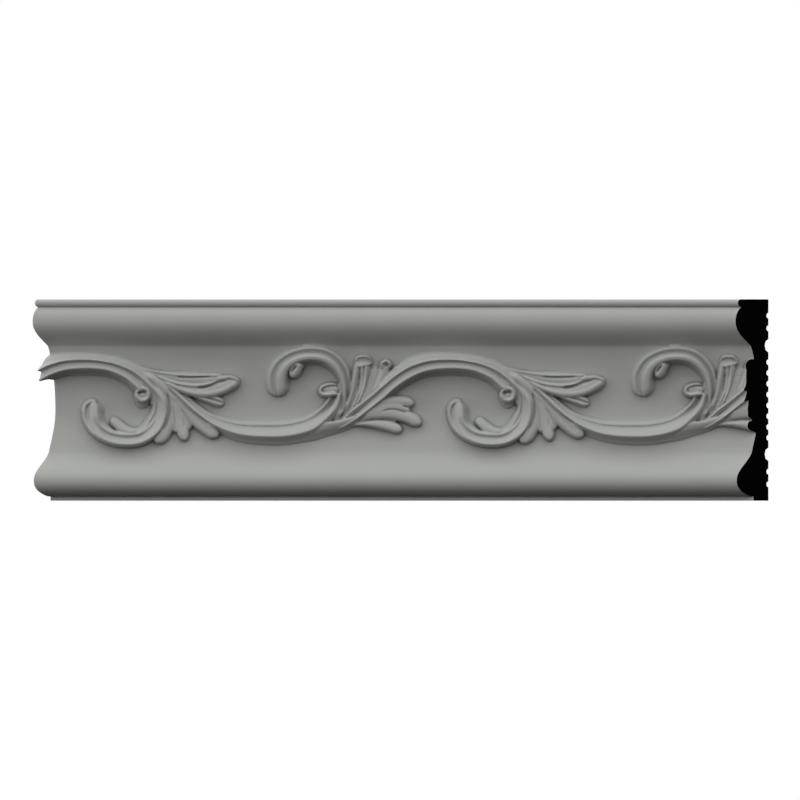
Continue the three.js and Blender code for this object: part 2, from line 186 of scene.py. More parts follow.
# Sections of the strokes, from the left foot (-1) over the path (0) to the right foot (1)
sections = {
    "rim": [(-1, -0.05), (-0.88, 0.22), (-0.68, 0.42), (-0.45, 0.55), (-0.25, 0.7), (-0.1, 0.9),
            (0, 0.99), (0.1, 1), (0.2, 0.9), (0.3, 0.82), (0.55, 0.76), (0.75, 0.55), (1, -0.05)],
    "band": [(-1, 0.1), (-0.88, 0.58), (-0.76, 0.79), (-0.52, 0.84), (-0.28, 0.88), (-0.12, 0.95),
             (0.04, 1), (0.15, 0.99), (0.28, 0.9), (0.45, 0.6), (0.7, 0.26), (0.88, 0.16), (1, -0.05)],
    "ledge": [(-1, 1), (-0.5, 0.99), (-0.1, 0.95), (0.2, 0.84), (0.5, 0.58), (0.75, 0.3), (0.9, 0.18),
              (1, -0.05)],
    "column": [(-1, -0.05), (-0.86, 0.5), (-0.66, 0.88), (-0.35, 1), (0, 0.94), (0.2, 0.84),
               (0.42, 0.78), (0.54, 0.7), (0.68, 0.8), (0.86, 0.5), (1, -0.05)],
    "lower": [(-1, -0.05), (-0.84, 0.5), (-0.6, 0.92), (-0.25, 1), (0.06, 0.9), (0.19, 0.72),
              (0.3, 0.6), (0.38, 0.71), (0.48, 0.82), (0.61, 0.74), (0.74, 0.52), (0.9, 0.18),
              (1, -0.05)],
    "tip": [(-1, -0.05), (-0.9, 0.5), (-0.8, 0.78), (-0.7, 0.83), (-0.57, 0.68), (-0.44, 0.58),
            (-0.25, 0.7), (-0.05, 0.9), (0.2, 0.98), (0.4, 1), (0.5, 0.92), (0.64, 0.55), (0.8, 0.2),
            (1, -0.05)],
    "stem": [(-1, -0.05), (-0.8, 0.28), (-0.62, 0.52), (-0.5, 0.54), (-0.37, 0.44), (-0.27, 0.6),
             (-0.15, 0.74), (0, 0.85), (0.2, 0.96), (0.33, 1), (0.42, 0.9), (0.58, 0.6), (0.76, 0.32),
             (0.9, 0.2), (1, -0.05)],
    "stemEnd": [(-1, -0.05), (-0.9, 0.5), (-0.76, 0.76), (-0.65, 0.68), (-0.5, 0.4), (-0.3, 0.38),
                (-0.14, 0.7), (0.06, 0.92), (0.35, 1), (0.6, 0.94), (0.82, 0.7), (1, -0.05)],
    "scroll": [(-1, -0.05), (-0.9, 0.1), (-0.75, 0.3), (-0.6, 0.64), (-0.47, 0.93), (-0.36, 0.99),
               (-0.15, 1), (0.05, 0.95), (0.18, 0.7), (0.29, 0.44), (0.38, 0.4), (0.5, 0.47),
               (0.64, 0.56), (0.75, 0.54), (0.87, 0.34), (1, -0.05)],
    "curl": [(-1, -0.05), (-0.94, 0.6), (-0.82, 0.97), (-0.7, 0.98), (-0.54, 0.86), (-0.3, 0.82),
             (0.1, 0.88), (0.45, 0.97), (0.66, 1), (0.8, 0.94), (0.92, 0.72), (1, 0.45)],
    "cupped": [(-1, -0.05), (-0.9, 0.55), (-0.74, 0.92), (-0.52, 1), (-0.26, 0.84), (0, 0.64),
               (0.26, 0.84), (0.52, 1), (0.74, 0.92), (0.9, 0.55), (1, -0.05)],
    "leaf": [(-1, -0.05), (-0.93, 0.42), (-0.76, 0.84), (-0.5, 1), (-0.26, 0.95), (-0.08, 0.74),
             (0, 0.68), (0.08, 0.74), (0.26, 0.95), (0.5, 1), (0.76, 0.84), (0.93, 0.42), (1, -0.05)],
    "round": [(-1, -0.05), (-0.93, 0.45), (-0.78, 0.78), (-0.45, 0.95), (0, 1), (0.45, 0.95),
              (0.78, 0.78), (0.93, 0.45), (1, -0.05)],
}

# The motif. A row of a route is x, z, left and right half width and height.
scroll = {
    "repeat": 178.4,
    "drawnRepeat": 179.2,
    "place": -6.4,  # of the motif's zero line from the middle of the back
    "copies": 5,
    "leastShown": 4.0,  # of a stroke at the left end
    "blur": 1,
    "stems": [  # with the sections that they pass through, by row of the route
        # rim of the arch, down to the lower scroll's tip
        {"root": 4, "tip": 4.5,
         "sections": [(0, "rim"), (16, "rim"), (19, "column"), (21, "column"), (23, "lower"),
                      (26, "lower"), (28, "tip")], "route": [
            (-38.6, -14.4, 1.6, 2.2, 4.6), (-31.2, -10.4, 1.9, 2.4, 5.4),
            (-25.5, -5.4, 2.4, 2.6, 6.2), (-21, -2, 2.6, 2.8, 6.6), (-15.4, 2.5, 2.8, 3, 7),
            (-10.3, 6.9, 3.2, 3.2, 7.2), (-4.2, 12, 3.8, 3.4, 7.5), (2, 15.9, 4.4, 3.4, 7.7),
            (8, 18.2, 4.6, 3.4, 7.8), (14, 19.5, 4.3, 3.4, 7.8), (21, 19.8, 4, 3.4, 7.8),
            (28, 19.6, 3.8, 3.4, 7.7), (32, 19, 3.9, 3.4, 7.6), (37.6, 17.8, 4.1, 3.2, 7.5),
            (43.2, 15.7, 4.4, 3, 7.3), (46.8, 13.8, 4.6, 2.8, 7.2), (50.4, 11, 4.8, 2.6, 7.1),
            (54.2, 7.6, 4.6, 2.8, 7), (57.8, 3.6, 4.2, 3, 6.9), (60.6, -1.2, 3.2, 5.6, 6.8),
            (61.2, -6.8, 2.5, 7.2, 6.7), (59.3, -12.4, 2.6, 8, 6.6), (55.4, -16.9, 2.6, 7.8, 6.6),
            (49.6, -19.9, 2.7, 7.2, 6.6), (42.6, -20.7, 2.6, 7.7, 6.5), (35.6, -19.6, 2.7, 7.4, 6.4),
            (30.6, -16.9, 3.2, 6.8, 6.3), (27.1, -13, 3.8, 6.8, 6.2), (25.9, -8, 4.9, 7, 6),
            (26, -3.4, 4.9, 6.6, 5.5), (26.2, 0, 4.4, 5.8, 5)]},
        # band of the arch, down to the knob
        {"root": 4, "tip": 2, "sections": [(0, "band")], "route": [
            (-33, -14.4, 1.6, 1.8, 4.4), (-27.2, -11.4, 1.8, 2, 5.4), (-21.6, -7.6, 2.2, 2.4, 6.2),
            (-15.9, -3.2, 2.6, 2.5, 6.7), (-10.3, 1.3, 2.8, 2.7, 7), (-4.7, 6.4, 2.8, 3.3, 7.3),
            (1, 10.3, 3, 3.3, 7.5), (7, 13.4, 3.1, 3.5, 7.5), (13, 15.2, 3.2, 3.7, 7.6),
            (20.7, 16, 3.4, 4, 7.6), (28, 15.9, 3.3, 4, 7.6), (34, 15, 3.2, 3.8, 7.5),
            (39, 13.2, 3, 3.5, 7.4), (43.4, 10.8, 3.1, 3.2, 7.3), (46.8, 7.9, 3.6, 3.2, 7.2),
            (49.2, 5.8, 4, 3.6, 7.1), (50.8, 4, 3.8, 3.8, 7)]},
        # ledge below the middle leaves
        {"root": 2, "tip": 4, "sections": [(0, "ledge")], "route": [
            (-55, -16.2, 2, 5.2, 6), (-49.6, -15.4, 2, 5.3, 6.2), (-44, -14.1, 2, 5.6, 6.2),
            (-38, -12.8, 2, 5, 6), (-31, -11.8, 2, 3.9, 5.8), (-25, -10, 2, 2.8, 5.7),
            (-19.5, -6.6, 2, 2.2, 5.6)]},
        # stem to the next repeat
        {"root": 4, "tip": 1,
         "sections": [(0, "stem"), (11, "stem"), (13, "stemEnd"), (15, "stemEnd")], "route": [
            (61, 9.6, 1.6, 1.6, 5.8), (66, 5.6, 2, 2.4, 6), (70.9, 1.4, 2.6, 3.2, 6.4),
            (76.6, -3.8, 3, 3.6, 6.6), (82, -8.1, 3.4, 3.6, 6.8), (88, -11.4, 4.4, 4.4, 7),
            (96, -14.2, 5.4, 5.4, 7.2), (103, -15.3, 6.1, 6, 7.3), (110, -15.6, 6.5, 6.5, 7.4),
            (119, -15.5, 6.5, 6.6, 7.4), (127, -14.2, 6.2, 7, 7.3), (134, -11.6, 5.6, 7.6, 7.1),
            (140, -7.8, 5, 5, 6.9), (144, -3.8, 4.6, 3.8, 6.8), (146.2, 0, 4.6, 2.4, 6.8),
            (147.2, 3.6, 3.6, 1.4, 6.7)]},
        # loop at that stem's end
        {"root": 2, "tip": 3, "sections": [(0, "round")], "route": [
            (146.6, 7.2, 0.8, 0.8, 5.8), (144.2, 7.6, 0.9, 0.9, 6), (141.4, 7.3, 1, 1, 6.2),
            (139, 6.2, 1, 1, 6.4), (138.1, 4.6, 1.1, 1.1, 6.5), (138.9, 3.1, 1.2, 1.2, 6.6),
            (141, 2.5, 1.4, 1.2, 6.8), (143.8, 2.8, 1.5, 1.3, 7), (147, 3, 1.5, 1.4, 6.9)]},
        # curled tip of the upright leaf
        {"root": 3.4, "tip": 3.4, "sections": [(0, "curl")], "route": [
            (-24.2, 17.6, 3.2, 2.4, 4.9), (-21.6, 18.2, 3.9, 3, 5.1), (-18.6, 18.4, 3.7, 2.2, 4.8),
            (-15.4, 18, 3, 1.4, 4.3)]},
        # upper scroll
        {"root": 4, "tip": 4, "sections": [(0, "scroll")], "route": [
            (-30.4, -7, 1.2, 1.4, 5), (-29.2, -2, 1.4, 1.8, 5.6), (-28.7, 2.5, 2.2, 2.4, 6),
            (-28.9, 7.5, 3, 3.4, 6.3), (-30.6, 13, 3.8, 4.6, 6.5), (-34, 17.6, 4.4, 5, 6.7),
            (-38.6, 20.6, 4.6, 5.2, 6.8), (-43.9, 21.6, 4.6, 5.2, 6.8), (-49.5, 21.3, 4.6, 5.2, 6.7),
            (-54.6, 19.6, 4.8, 5.4, 6.6), (-58.8, 16.4, 5.4, 6, 6.4), (-61.2, 11.6, 6.2, 6.6, 6.2),
            (-61.4, 6.4, 6, 6.3, 5.8), (-61, 1.8, 5, 5.4, 5)]},
    ],
    # centre, radius at the start and end, start angle, sweep, half width, height
    "volutes": [
        ((51, 2.7), (3, 2.9), 95, -340, 1.5, 7),
        ((26.8, -4.9), (4.5, 4.3), 190, -120, 1.4, 4.5),
        ((-8.8, 16.8), (2.2, 2), 215, -250, 0.95, 5.6),
    ],
    # root, bend, tip, half width, heights at root and tip, share of the width at the root, section
    "leaves": [
        # knob below the arch, its foot, and the filling between it and the rim
        ((50.6, 6), (51, 3), (51, -0.6), 3.4, (6.2, 5.9), 0.8, "round"),
        ((51, 3), (51, 0), (50.6, -4), 4.3, (5.4, 1.8), 1, "round"),
        ((55.2, 6), (56, 2), (56, -2.6), 1.6, (5.2, 4), 1, "round"),
        # floor of the loop
        ((138, 4.8), (141.9, 5), (147.4, 5.2), 2.6, (5.2, 5.5), 1, "round"),
        # bud in the upper scroll
        ((-50.4, 19), (-53.2, 15), (-54.8, 10.7), 3.3, (6.4, 6.3), 0.8, "round"),
        # inner leaf of the lower scroll
        ((51, -14.6), (42.6, -17.6), (35.6, -8.8), 2.9, (5.6, 4.6), 0.5, "round"),
        # upper leaf of the lower scroll
        ((48, 15), (66, 9), (92, 9.2), 4.2, (5.4, 4.2), 0.4, "round"),
        ((49, 15.8), (66, 10.7), (88.6, 12), 1.2, (5.8, 4.3), 0.7, "round"),
        ((52, 15), (75.6, 0.8), (94, 11.6), 1.3, (6.2, 4.8), 0.7, "round"),
        ((84.5, 8.8), (93, 13.4), (98.4, 9.2), 1, (4.6, 5.1), 0.8, "round"),
        ((55, 13.4), (80.4, -5.4), (98, 9.4), 2.2, (6.4, 5), 0.5, "round"),
        ((62, 9.5), (79, -1), (98.4, 10), 3.6, (5.4, 4.5), 0.4, "round"),
        ((66, 7), (80, 2), (91, -1.8), 2.6, (5.4, 4), 0.5, "leaf"),
        # lower leaf
        ((50, 13.6), (60, 8), (69, -1), 3.6, (6, 5.6), 0.6, "round"),
        ((60, 8), (68, -4), (71.6, -16), 9.6, (5.5, 4.9), 0.4, "round"),
        ((62, 7), (76, -8), (88, -13.6), 3.6, (5.8, 5), 0.6, "round"),
        ((61, 8), (67, -12), (56.9, -20.4), 4.5, (5.7, 4.6), 0.5, "round"),
        ((62, 8), (68.8, -8), (72, -19.8), 3.2, (5.7, 4.7), 0.5, "round"),
        ((63, 8), (73, -9), (88.4, -17.4), 3.7, (5.7, 4.7), 0.5, "round"),
        # upright leaves
        ((-34, -11), (-30.4, -4), (-31, 9), 2, (5.2, 3.4), 0.8, "round"),
        ((-34, -10), (-25.6, -1), (-24.4, 10), 1.1, (5.4, 3.6), 0.8, "round"),
        ((-24, -4), (-15, 6), (-13.8, 16), 3.4, (5.2, 2), 0.5, "round"),
        ((-29, -8), (-21.6, 4), (-20, 20.4), 4.5, (5.2, 4.3), 0.35, "cupped"),
        ((-26, -5), (-19, 3), (-19.4, 18), 2.2, (5.8, 4.8), 0.5, "leaf"),
        ((-17, 2), (-10.6, 8), (-8.9, 18.6), 2.9, (6, 4.6), 0.45, "round"),
        ((-15, 4), (-8, 9), (-0.6, 16.6), 2.8, (6.4, 4.6), 0.6, "round"),
        # leaf below the arch, with the filling between its lower lobes
        ((-10.5, -9.4), (-6.8, -9.6), (-3.6, -10.6), 0.8, (3.6, 3), 1, "round"),
        ((-23, -8.4), (-10, -3.4), (3.2, -4.4), 5.6, (5.5, 5), 0.6, "round"),
        ((-20, -6), (-6, 2.2), (5, -2.2), 2.9, (5, 4.9), 0.8, "round"),
        ((-23, -9.2), (-3, -3), (8.4, -12), 3.3, (5.2, 5), 0.6, "round"),
        ((-25, -12), (-11, -10.2), (-0.9, -15), 2.8, (5, 4.6), 0.35, "round"),
    ],
    # half width, depth and points of each cut line
    "cuts": [
        # slots of the knob and the bud
        (0.8, 2, [(47.7, 3), (50.6, 3.7), (53.8, 3.9)]),
        (0.8, 2.2, [(-55.8, 12.6), (-54.2, 14.8), (-52, 17.2)]),
        # beside the rim and the stem, below the leaves of the lower scroll
        (0.8, 1.2, [(62.9, 4.4), (64, -1), (64.2, -6), (62.8, -11.5), (60, -15.6)]),
        (0.7, 1, [(62.6, 6), (67.8, 1.1), (72.5, -3.6), (78.7, -8.3), (84.4, -12.2)]),
        # hollows of the upper leaf and beside the inner one
        (0.5, 1.5, [(67, 11.2), (76, 11), (86, 11.5)]),
        (0.8, 1.9, [(77, 5.8), (83, 6.6), (88, 8.6), (93, 10)]),
        (0.7, 2.4, [(32.4, -4), (33.4, -9), (36.4, -13.4), (39.4, -15.8)]),
        # lines of the rim and the lower leaf
        (0.35, 0.7, [(55.6, 8), (57.6, 2), (58, -4), (57, -11), (53.6, -15.4)]),
        (0.3, 0.6, [(51.6, 12.6), (56.4, 7.4), (59.4, 2), (60.2, -3)]),
        (0.4, 0.7, [(65.4, -2), (66.8, -9), (67, -16)]),
        (0.4, 0.7, [(69, -3), (72.6, -9), (75.4, -15)]),
        (0.35, 0.6, [(76.9, -7), (81, -12), (85.6, -17.2)]),
        (0.35, 0.5, [(71.2, -8), (71.6, -14)]),
        # upright leaves
        (0.4, 0.8, [(-27.4, 12), (-26.9, 6), (-27.8, 0)]),
        (1, 0.9, [(-21.8, 14.4), (-21.3, 11), (-21.9, 6), (-23, 2)]),
        (0.7, 1.5, [(-8.5, 17.8), (-8.8, 16)]),
        # leaf below the arch
        (0.45, 0.8, [(-21.4, -11.1), (-16.3, -9.8), (-7.9, -9.8), (-3.4, -10.9), (-0.4, -12.6)]),
        (0.6, 1, [(-11.4, -5.9), (-6.5, -4.7), (-1.8, -5.3), (2.6, -7)]),
        (0.45, 1.3, [(-1.4, -2.9), (1.6, -3.5), (5, -4.3)]),
    ],
}


def easeThrough(xs, ys, at):  # a smooth curve through the points that doesn't overshoot them
    xs, ys = np.array(xs, float), np.array(ys, float)
    gaps = np.diff(xs)
    slopes = np.diff(ys) / gaps
    products = slopes[:-1] * slopes[1:]
    inner = np.where(products > 0, 2 * products / (slopes[:-1] + slopes[1:] + 1e-12), 0)
    lean = np.concatenate([[slopes[0]], inner, [slopes[-1]]])
    k = np.clip(np.searchsorted(xs, at, side="right") - 1, 0, len(gaps) - 1)
    t = (at - xs[k]) / gaps[k]
    return (
        (2 * t**3 - 3 * t**2 + 1) * ys[k] + (t**3 - 2 * t**2 + t) * gaps[k] * lean[k]
        + (3 * t**2 - 2 * t**3) * ys[k + 1] + (t**3 - t**2) * gaps[k] * lean[k + 1]
    )


def flowThrough(points, spacing):  # centripetal curve through rows whose first two columns are x and z
    rows = np.array(points, float)
    rows = np.vstack([2 * rows[0] - rows[1], rows, 2 * rows[-1] - rows[-2]])
    gaps = np.linalg.norm(np.diff(rows[:, :2], axis=0), axis=1)
    knots = np.concatenate([[0], np.cumsum(np.sqrt(gaps))])
    dense = []
    for i in range(1, len(rows) - 2):
        a, b, c, d = rows[i - 1 : i + 3]
        ka, kb, kc, kd = knots[i - 1 : i + 3]
        t = np.linspace(kb, kc, stroke["spanSamples"], endpoint=False)[:, None]
        ab = (kb - t) / (kb - ka) * a + (t - ka) / (kb - ka) * b
        bc = (kc - t) / (kc - kb) * b + (t - kb) / (kc - kb) * c
        cd = (kd - t) / (kd - kc) * c + (t - kc) / (kd - kc) * d
        abc = (kc - t) / (kc - ka) * ab + (t - ka) / (kc - ka) * bc
        bcd = (kd - t) / (kd - kb) * bc + (t - kb) / (kd - kb) * cd
        dense.append((kc - t) / (kc - kb) * abc + (t - kb) / (kc - kb) * bcd)
    dense = np.vstack([*dense, rows[-2]])
    run = distanceAlong(dense[:, :2])
    at = np.linspace(0, run[-1], max(stroke["leastStations"], round(run[-1] / spacing)) + 1)
    return np.stack([np.interp(at, run, dense[:, k]) for k in range(rows.shape[1])], 1), at


def roundedEnd(distance, reach):
    share = np.clip(1 - distance / max(reach, 1e-6), 0, 1)
    return np.sqrt(1 - share**2)


def smoothStep(value, low, high):
    t = np.clip((value - low) / (high - low), 0, 1)
    return t * t * (3 - 2 * t)


stroke = {
    "sectionPoints": 49,
    "stemStep": 0.6,
    "cutStep": 0.4,
    "leastStations": 8,  # of a stem or a cut
    "leafStations": 60,
    "voluteStations": 90,
    "spanSamples": 40,  # between two rows of a route
    "stemEndRise": 0.7,  # share of the height at a stem's rounded end
    "voluteTip": 1 / 3,  # share of a volute's length that is its rounded tip
    "leafCrowding": 1.4,  # how far a leaf's stations crowd at its tip
    "leafTip": 1.3,  # length of a leaf's rounded tip, in half widths
    "leafTipRise": 0.75,
    "leafFull": 0.7,  # share of a leaf's length where it is at its widest
    "leafRootRise": 0.5,
    "leafRise": (-0.02, 0.25),  # shares of its length over which it rises to its height
    "cutFade": 3.0,  # length over which a cut runs out
    "cutEndWidth": 0.4,
    "cutRoundness": 1.5,
}

# places over a section, closer at its feet
across = np.sin(np.linspace(-0.5, 0.5, stroke["sectionPoints"]) * math.pi)


def loft(centres, left, right, heights, shares):  # a strip that carries a section along its stations
    run = np.gradient(centres, axis=0)
    run /= np.linalg.norm(run, axis=1)[:, None]
    width = np.where(across < 0, left[:, None], right[:, None]) * across
    x = centres[:, :1] + run[:, 1:] * width
    z = centres[:, 1:] - run[:, :1] * width
    rise = shares * heights[:, None]
    points = np.stack([x, -rise, z], 2).reshape(-1, 3)
    rows, columns = x.shape
    first = (np.arange(rows - 1)[:, None] * columns + np.arange(columns - 1)).ravel()
    faces = np.stack([first, first + 1, first + columns + 1, first + columns], 1)
    return points, faces


def sectionShares(name):
    places, shares = zip(*sections[name])
    return easeThrough(places, shares, across)


def stemStrip(stem):
    route = np.array(stem["route"], float)
    rows, at = flowThrough(np.column_stack([route, np.arange(len(route))]), stroke["stemStep"])
    toTip = at[-1] - at
    fullness = roundedEnd(at, stem["root"]) * roundedEnd(toTip, stem["tip"])
    marks, names = zip(*stem["sections"])
    turn = np.interp(rows[:, 5], marks, np.arange(len(marks)))
    passed = turn.astype(int)
    nextOne = np.minimum(passed + 1, len(marks) - 1)
    tables = np.stack([sectionShares(name) for name in names])
    shares = lerp(tables[passed], tables[nextOne], (turn - passed)[:, None])
    heights = rows[:, 4] * lerp(stroke["stemEndRise"], 1, fullness)
    return loft(rows[:, :2], rows[:, 2] * fullness, rows[:, 3] * fullness, heights, shares)


def leafStrip(root, bend, tip, width, rise, rootWidth, section):
    evenly = np.linspace(0, 1, stroke["leafStations"])
    t = (1 - (1 - evenly) ** stroke["leafCrowding"])[:, None]
    centres = (1 - t) ** 2 * np.array(root) + 2 * t * (1 - t) * np.array(bend) + t**2 * np.array(tip)
    run = distanceAlong(centres)
    share = run / run[-1]
    rounded = roundedEnd(run[-1] - run, width * stroke["leafTip"])
    full = width * lerp(rootWidth, 1, smoothStep(share, 0, stroke["leafFull"])) * rounded
    heights = lerp(rise[0], rise[1], share) * lerp(stroke["leafTipRise"], 1, rounded)
    risen = smoothStep(share, *stroke["leafRise"])
    heights = heights * lerp(stroke["leafRootRise"], 1, risen)
    shares = np.tile(sectionShares(section), (len(share), 1))
    return loft(centres, full, full, heights, shares)


def voluteStrip(centre, radius, start, sweep, width, height):
    share = np.linspace(0, 1, stroke["voluteStations"])
    angle = np.radians(start + sweep * share)
    reach = lerp(radius[0], radius[1], share)
    centres = np.array(centre) + np.stack([np.cos(angle), np.sin(angle)], 1) * reach[:, None]
    full = width * roundedEnd(1 - share, stroke["voluteTip"])
    shares = np.tile(sectionShares("round"), (len(share), 1))
    return loft(centres, full, full, np.full(len(share), float(height)), shares)


def cutStrip(width, depth, points):
    rows, at = flowThrough(points, stroke["cutStep"])
    reach = min(stroke["cutFade"], at[-1] / 3)
    fade = smoothStep(at, 0, reach) * smoothStep(at[-1] - at, 0, reach)
    shares = np.tile(1 - np.abs(across) ** stroke["cutRoundness"], (len(at), 1))
    full = width * lerp(stroke["cutEndWidth"], 1, fade)
    return loft(rows[:, :2], full, full, depth * fade, shares)


def joinStrips(name, strips):  # one mesh, whose points know how far right their own stroke reaches
    points, faces, reach = [], [], []
    count = 0
    for strip, quads in strips:
        points.append(strip)
        faces.append(quads + count)
        reach.append(np.full(len(strip), strip[:, 0].max()) - strip[:, 0])
        count += len(strip)
    mesh = bpy.data.meshes.new(name)
    mesh.from_pydata((np.vstack(points) * millimetre).tolist(), [], np.vstack(faces).tolist())
    attribute = mesh.attributes.new("toTip", "FLOAT", "POINT")
    attribute.data.foreach_set("value", (np.concatenate(reach) * millimetre).astype(np.float32))
    return bpy.data.objects.new(name, mesh)


def motifStrips(motif):
    strips = [stemStrip(stem) for stem in motif["stems"]]
    strips += [voluteStrip(*volute) for volute in motif["volutes"]]
    strips += [leafStrip(*leaf) for leaf in motif["leaves"]]
    return strips


def addNode(tree, kind, inputs=None, **settings):
    node = tree.nodes.new(kind)
    for name, value in settings.items():
        setattr(node, name, value)
    for name, value in (inputs or {}).items():
        if isinstance(value, bpy.types.NodeSocket):
            tree.links.new(value, node.inputs[name])
        else:
            node.inputs[name].default_value = value
    return node


def calculate(tree, operation, *values):
    return addNode(tree, "ShaderNodeMath", dict(enumerate(values)), operation=operation).outputs[0]


def vectorOf(tree, x=0, y=0, z=0):
    return addNode(tree, "ShaderNodeCombineXYZ", {"X": x, "Y": y, "Z": z}).outputs[0]


def partsOf(tree, vector=None):  # x, y and z of a vector, or else of the position
    vector = vector or tree.nodes.new("GeometryNodeInputPosition").outputs[0]
    return addNode(tree, "ShaderNodeSeparateXYZ", {0: vector}).outputs


def newTree(name, kind, inputs, outputs):
    tree = bpy.data.node_groups.new(name, kind)
    for side, sockets in (("INPUT", inputs), ("OUTPUT", outputs)):
        for socketName, socketType in sockets:
            tree.interface.new_socket(socketName, in_out=side, socket_type="NodeSocket" + socketType)
    start = tree.nodes.new("NodeGroupInput").outputs
    end = tree.nodes.new("NodeGroupOutput").inputs
    return tree, start, end


def repeatedStrokes(tree, sockets, target):  # the motif's strokes, set out along the length
    info = addNode(tree, "GeometryNodeObjectInfo", {"Object": target, "As Instance": True})
    halfRun = calculate(tree, "MULTIPLY", calculate(tree, "SUBTRACT", sockets["Copies"], 1), -0.5)
    first = calculate(tree, "MULTIPLY_ADD", halfRun, sockets["Repeat"], sockets["Place"])
    line = addNode(tree, "GeometryNodeMeshLine", {
        "Count": sockets["Copies"],
        "Start Location": vectorOf(tree, first), "Offset": vectorOf(tree, sockets["Repeat"])})
    copies = addNode(tree, "GeometryNodeInstanceOnPoints", {
        "Points": line.outputs["Mesh"], "Instance": info.outputs["Geometry"],
        "Scale": vectorOf(tree, sockets["Stretch"], 1, 1)})
    real = addNode(tree, "GeometryNodeRealizeInstances", {"Geometry": copies.outputs["Instances"]})
    toTip = addNode(tree, "GeometryNodeInputNamedAttribute", {"Name": "toTip"}, data_type="FLOAT")
    tipPlace = calculate(tree, "ADD", partsOf(tree)["X"], toTip.outputs["Attribute"])
    tooShort = calculate(tree, "LESS_THAN", tipPlace, sockets["Left Limit"])
    shown = addNode(tree, "GeometryNodeDeleteGeometry", {
        "Geometry": real.outputs["Geometry"], "Selection": tooShort}, domain="POINT")
    return shown.outputs["Geometry"]


rayReach = 0.1  # metres, well clear of the strokes


def riseFrom(tree, strokes):  # how high the strokes stand over each point, met by a ray from the front
    spot = partsOf(tree)
    ray = addNode(tree, "GeometryNodeRaycast", {
        "Target Geometry": strokes, "Source Position": vectorOf(tree, spot["X"], -rayReach, spot["Z"]),
        "Ray Direction": (0, 1, 0), "Ray Length": 2 * rayReach})
    met = partsOf(tree, ray.outputs["Hit Position"])
    high = calculate(tree, "MAXIMUM", calculate(tree, "MULTIPLY", met["Y"], -1), 0)
    return calculate(tree, "MULTIPLY", high, ray.outputs["Is Hit"])


def sweepTree():
    tree, start, end = newTree("sweepAndCarve", "GeometryNodeTree", [
        ("Geometry", "Geometry"), ("Motif", "Object"), ("Cuts", "Object"), ("Length", "Float"),
        ("Columns", "Int"), ("Repeat", "Float"), ("Stretch", "Float"), ("Place", "Float"),
        ("Copies", "Int"), ("Left Limit", "Float"), ("Blur", "Int"), ("Back Edge", "Float"),
        ("Face", "Material"),
    ], [("Geometry", "Geometry")])
    half = calculate(tree, "MULTIPLY", start["Length"], 0.5)
    path = addNode(tree, "GeometryNodeCurvePrimitiveLine", {
        "Start": vectorOf(tree, calculate(tree, "MULTIPLY", half, -1)), "End": vectorOf(tree, half)})
    stations = addNode(tree, "GeometryNodeResampleCurve", {
        "Curve": path.outputs["Curve"], "Count": start["Columns"]}, mode="COUNT")
    profile = addNode(tree, "GeometryNodeMeshToCurve", {"Mesh": start["Geometry"]})
    swept = addNode(tree, "GeometryNodeCurveToMesh", {
        "Curve": stations.outputs["Curve"], "Profile Curve": profile.outputs["Curve"],
        "Fill Caps": True})
    rise = riseFrom(tree, repeatedStrokes(tree, start, start["Motif"]))
    depth = riseFrom(tree, repeatedStrokes(tree, start, start["Cuts"]))
    carved = calculate(tree, "MAXIMUM", calculate(tree, "SUBTRACT", rise, depth), 0)
    soft = addNode(tree, "GeometryNodeBlurAttribute", {
        "Value": carved, "Iterations": start["Blur"], "Weight": 0.5}, data_type="FLOAT")
    onFront = calculate(tree, "LESS_THAN", partsOf(tree)["Y"], start["Back Edge"])
    outwards = calculate(tree, "MULTIPLY", soft.outputs["Value"], -1)
    moved = addNode(tree, "GeometryNodeSetPosition", {
        "Geometry": swept.outputs["Mesh"], "Selection": onFront, "Offset": vectorOf(tree, y=outwards)})
    real = addNode(tree, "GeometryNodeRealizeInstances", {"Geometry": moved.outputs["Geometry"]})
    dressed = addNode(tree, "GeometryNodeSetMaterial", {
        "Geometry": real.outputs["Geometry"], "Material": start["Face"]})
    tree.links.new(dressed.outputs["Geometry"], end["Geometry"])
    return tree


